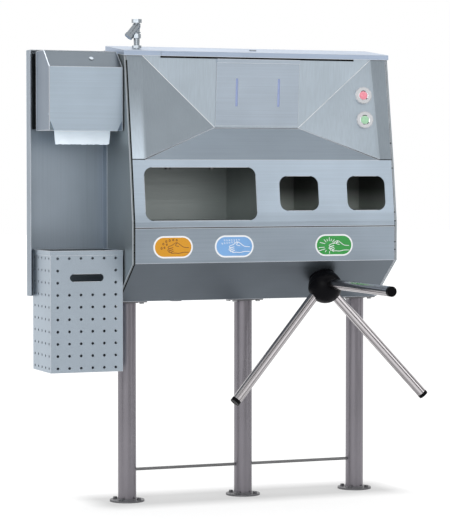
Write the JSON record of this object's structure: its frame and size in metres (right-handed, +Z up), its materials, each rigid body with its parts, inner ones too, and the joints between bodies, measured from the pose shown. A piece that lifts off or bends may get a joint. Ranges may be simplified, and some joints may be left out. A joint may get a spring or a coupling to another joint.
{
  "type": "hygiene station with tripod turnstile",
  "caption": "Stainless hand-hygiene station on legs with wash basin, spray chambers, towel dispenser, waste basket and a counting tripod turnstile.",
  "frame": {"origin": "centre of the middle foot flange, on the floor", "axes": "+X to the right seen from the front, +Y to the back, +Z up"},
  "size_m": [1.3171, 0.7566, 1.588],
  "materials": {
    "brushed_stainless": "satin brushed, grain across",
    "satin_tube": "satin tube",
    "bright_tube": "polished",
    "plated_fitting": "nickel plated",
    "zinc_steel": "zinc plated",
    "cast_housing": "grey enamel",
    "black_plastic": "fine grained",
    "black_rubber": "matt",
    "blue_grey_plastic": "blow moulded",
    "label_orange": "printed vinyl",
    "label_blue": "printed vinyl",
    "label_green": "printed vinyl",
    "lens_red": "moulded lens",
    "lens_green": "moulded lens",
    "paper": "soft paper"
  },
  "bodies": {
    "cabinet": {"back_panel": "brushed_stainless", "basin_drain": "black_plastic", "basin_spouts": "bright_tube", "basket_hanger": "zinc_steel", "bottom_panel": "brushed_stainless", "canister_shelf": "zinc_steel", "canisters": "blue_grey_plastic", "control_box": "cast_housing", "dispenser_back": "black_plastic", "dispenser_case": "brushed_stainless", "dosing_pump": "cast_housing", "feet": "satin_tube", "front_apron": "brushed_stainless", "hinge_leaves": "zinc_steel", "hinge_pins": "zinc_steel", "hood_recess": "brushed_stainless", "inlet_cover": "brushed_stainless", "inlet_pipe": "plated_fitting", "label_disinfect": "label_green", "label_soap": "label_orange", "label_water": "label_blue", "lamp_bezels": "bright_tube", "lamp_green": "lens_green", "lamp_red": "lens_red", "leg_bolts": "zinc_steel", "leg_left": "satin_tube", "leg_middle": "satin_tube", "leg_plates": "satin_tube", "leg_right": "satin_tube", "lid_seal": "black_rubber", "lock_keeper": "zinc_steel", "opening_panel": "brushed_stainless", "panel_carriers": "zinc_steel", "rear_rail": "brushed_stainless", "side_panel_left": "brushed_stainless", "side_panel_right": "brushed_stainless", "sight_panel": "brushed_stainless", "spray_chambers": "brushed_stainless", "spray_nozzles": "bright_tube", "strainer_body": "plated_fitting", "strainer_cap": "plated_fitting", "tie_rods": "zinc_steel", "towel_stack": "paper", "turnstile_bearings": "zinc_steel", "turnstile_housing": "cast_housing", "wash_basin": "brushed_stainless", "water_valve": "black_plastic", "wing_panel": "brushed_stainless"},
    "lid": {"service_lid": "brushed_stainless"},
    "lid_key": {"lid_lock": "plated_fitting"},
    "dispenser_door": {"dispenser_cover": "brushed_stainless"},
    "dispenser_key": {"dispenser_lock": "plated_fitting"},
    "basket": {"waste_basket": "brushed_stainless"},
    "tripod": {"tripod_hub": "black_plastic", "arm_front": "bright_tube", "arm_left": "bright_tube", "arm_right": "bright_tube", "arm_caps": "black_plastic", "tripod_shaft": "zinc_steel", "index_cam": "zinc_steel"}
  },
  "joints": [
    {"name": "lid_hinge", "type": "hinge", "parent": "cabinet", "child": "lid", "pos_m": [0, 0.056, 1.499], "axis": [-1, 0, 0], "range_deg": [0, 75]},
    {"name": "lid_key_turn", "type": "hinge", "parent": "lid", "child": "lid_key", "pos_m": [0.012, -0.056, 1.49404], "axis": [0, -0.1187, 0.9929], "range_deg": [-90, 0]},
    {"name": "dispenser_hinge", "type": "hinge", "parent": "cabinet", "child": "dispenser_door", "pos_m": [-0.598, -0.123, 1.276], "axis": [1, 0, 0], "range_deg": [0, 90]},
    {"name": "dispenser_key_turn", "type": "hinge", "parent": "dispenser_door", "child": "dispenser_key", "pos_m": [-0.57, -0.09946, 1.45609], "axis": [0, -0.6651, 0.7467], "range_deg": [0, 90]},
    {"name": "basket_lift", "type": "slide", "parent": "cabinet", "child": "basket", "axis": [0, 0, 1], "range_m": [0, 0.3]},
    {"name": "tripod_turn", "type": "hinge", "parent": "cabinet", "child": "tripod", "pos_m": [0.225, -0.16397, 0.71987], "axis": [0, -0.6354, -0.7722], "continuous": true}
  ]
}
